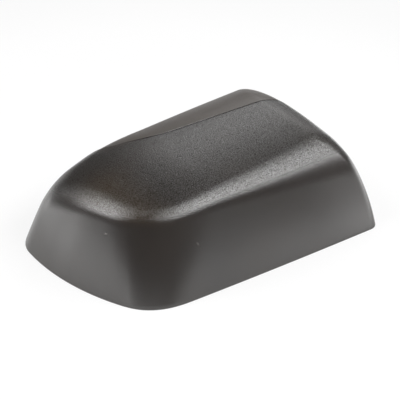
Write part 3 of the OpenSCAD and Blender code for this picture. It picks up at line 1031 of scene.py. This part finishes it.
def moulded_plastic():
    """Black moulded plastic: finely grained on the roof and smoother on the walls and the panel."""
    material = bpy.data.materials.new("moulded_plastic")
    material.use_nodes = True
    make = Nodes(material.node_tree)
    output = make.add("ShaderNodeOutputMaterial")
    shader = make.add("ShaderNodeBsdfPrincipled")
    make.link(shader.outputs["BSDF"], output.inputs["Surface"])
    place = make.add("ShaderNodeTexCoord").outputs["Object"]
    panel_part = make.mask("panel_part")
    groove_shade_part = make.mask("groove_shade_part")
    grained = make.math("SUBTRACT", make.mask("roof_part"), panel_part, clamp=True)
    grain = make.noise(place, GRAIN_SCALE, GRAIN_DETAIL)

    shader.inputs["IOR"].default_value = PLASTIC_IOR
    make.link(plastic_colour(make, place, panel_part, groove_shade_part), shader.inputs["Base Color"])
    make.link(plastic_roughness(make, panel_part, grained), shader.inputs["Roughness"])
    make.link(plastic_shine(make, groove_shade_part, grained, grain), shader.inputs["Specular IOR Level"])
    make.link(plastic_grain(make, grained, grain), shader.inputs["Normal"])
    return material


def floor_material():
    """White floor, clear from below, painted grey further from the cover as a painted pool of light. The
    eye sees it nearly evenly white, with the cover's shadow.
    """
    material = bpy.data.materials.new("floor_painted_pool")
    material.use_nodes = True
    make = Nodes(material.node_tree)
    output = make.add("ShaderNodeOutputMaterial")
    place = make.add("ShaderNodeTexCoord")
    away = make.add("ShaderNodeVectorMath", operation="LENGTH")
    make.link(place.outputs["Object"], away.inputs[0])
    far = make.fade(away.outputs["Value"], FLOOR_NEAR_R, FLOOR_FAR_R)
    white = make.add("ShaderNodeBsdfDiffuse")
    # Painted pool of light: white near the cover, grey further out
    grey = make.ramp(far, [(0, (FLOOR_WHITE,) * 3), (1, (FLOOR_PAINTED_FAR_GREY,) * 3)])
    make.link(grey, white.inputs["Color"])
    even = make.add("ShaderNodeEmission")
    # Reflections see even white only near the cover, a painted pool of light too
    seen = make.seen_rays(make.fade(away.outputs["Value"], MIRROR_FAR_R, MIRROR_NEAR_R))
    share = make.math("MULTIPLY", seen, make.span(far, FLOOR_EVEN, 1))
    above = make.mixed(share, white.outputs["BSDF"], even.outputs["Emission"])
    below = make.add("ShaderNodeBsdfTransparent")
    side = make.add("ShaderNodeNewGeometry")
    both = make.mixed(side.outputs["Backfacing"], above, below.outputs["BSDF"])
    make.link(both, output.inputs["Surface"])
    return material


def floor():
    """The plain floor that the cover stands on."""
    h = FLOOR_HALF
    plane = mesh_object("floor", [(-h, -h, 0), (h, -h, 0), (h, h, 0), (-h, h, 0)], [(0, 1, 2, 3)])
    plane.data.materials.append(floor_material())


def direction_of(azimuth, elevation):
    """Unit vector towards a viewer: azimuth 0 stands in front, at -Y, and 90 at +X."""
    a, e = math.radians(azimuth), math.radians(elevation)
    return Vector((math.sin(a) * math.cos(e), -math.cos(a) * math.cos(e), math.sin(e)))


def area_light(name, azimuth, elevation, width, tall, strength, roll=0):
    """A softbox that faces the cover from a direction, as bright as a surface of that strength."""
    light = bpy.data.lights.new(name, "AREA")
    light.shape = "RECTANGLE"
    light.size = width
    light.size_y = tall
    light.energy = strength * math.pi * width * tall
    lamp = bpy.data.objects.new(name, light)
    back = direction_of(azimuth, elevation)
    lamp.location = back * SOFTBOX_AWAY
    rolled = Quaternion((0, 0, 1), math.radians(roll))
    lamp.rotation_euler = (back.to_track_quat("Z", "Y") @ rolled).to_euler()
    bpy.context.scene.collection.objects.link(lamp)
    return lamp


def softboxes():
    """The soft lamps round the cover, above it."""
    for name, softbox in SOFTBOXES.items():
        area_light(name, *softbox)


def low_cards():
    """A ring of low bright cards that stand on the floor, which light the foot of the walls."""
    for azimuth, (tall, strength) in CARDS.items():
        card = area_light(f"card_{azimuth}", azimuth, 0, CARD_W, tall, strength)
        card.location = direction_of(azimuth, 0) * CARD_AWAY + Vector((0, 0, tall / 2))


def light_from_below():
    """A soft lamp under the floor, for the views of the inside. The floor doesn't shade it."""
    lamp = area_light("softbox_below", 0, -90, *BELOW)
    lamp.data.use_shadow = False


def camera():
    """The photograph's view: a long lens from the nose side, above the front wall."""
    data = bpy.data.cameras.new("camera")
    data.sensor_width = CAMERA_SENSOR
    data.lens = CAMERA_LENS
    made = bpy.data.objects.new("camera", data)
    made.location = (CAMERA_PIVOT + direction_of(*CAMERA_SIDE) * CAMERA_AWAY) * MM
    level = (made.location - CAMERA_AIM * MM).to_track_quat("Z", "Y")
    made.rotation_euler = (level @ Quaternion((0, 0, 1), CAMERA_ROLL)).to_euler()
    bpy.context.scene.collection.objects.link(made)
    bpy.context.scene.camera = made


def world():
    """A dim surround. It is white to the eye and through glass, and low down in reflections too."""
    made = bpy.data.worlds.new("world")
    made.use_nodes = True
    make = Nodes(made.node_tree)
    output = make.add("ShaderNodeOutputWorld")
    place = make.add("ShaderNodeTexCoord")
    axes = make.add("ShaderNodeSeparateXYZ")
    make.link(place.outputs["Generated"], axes.inputs[0])
    around = make.add("ShaderNodeBackground")
    make.put((SURROUND_GREY,) * 3, around.inputs["Color"])
    behind = make.add("ShaderNodeBackground")
    make.put((1, 1, 1), behind.inputs["Color"])
    seen = make.seen_rays(make.fade(axes.outputs["Z"], WHITE_UP_TO, 0))
    make.link(make.mixed(seen, around.outputs[0], behind.outputs[0]), output.inputs["Surface"])
    bpy.context.scene.world = made


camera()
world()
floor()
softboxes()
low_cards()
light_from_below()

cover = moulded_cover()
add_masks(cover)
cover.data.materials.clear()
cover.data.materials.append(moulded_plastic())
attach(cover, "root")
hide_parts("base_cover")

bpy.context.scene.view_settings.view_transform = "Standard"
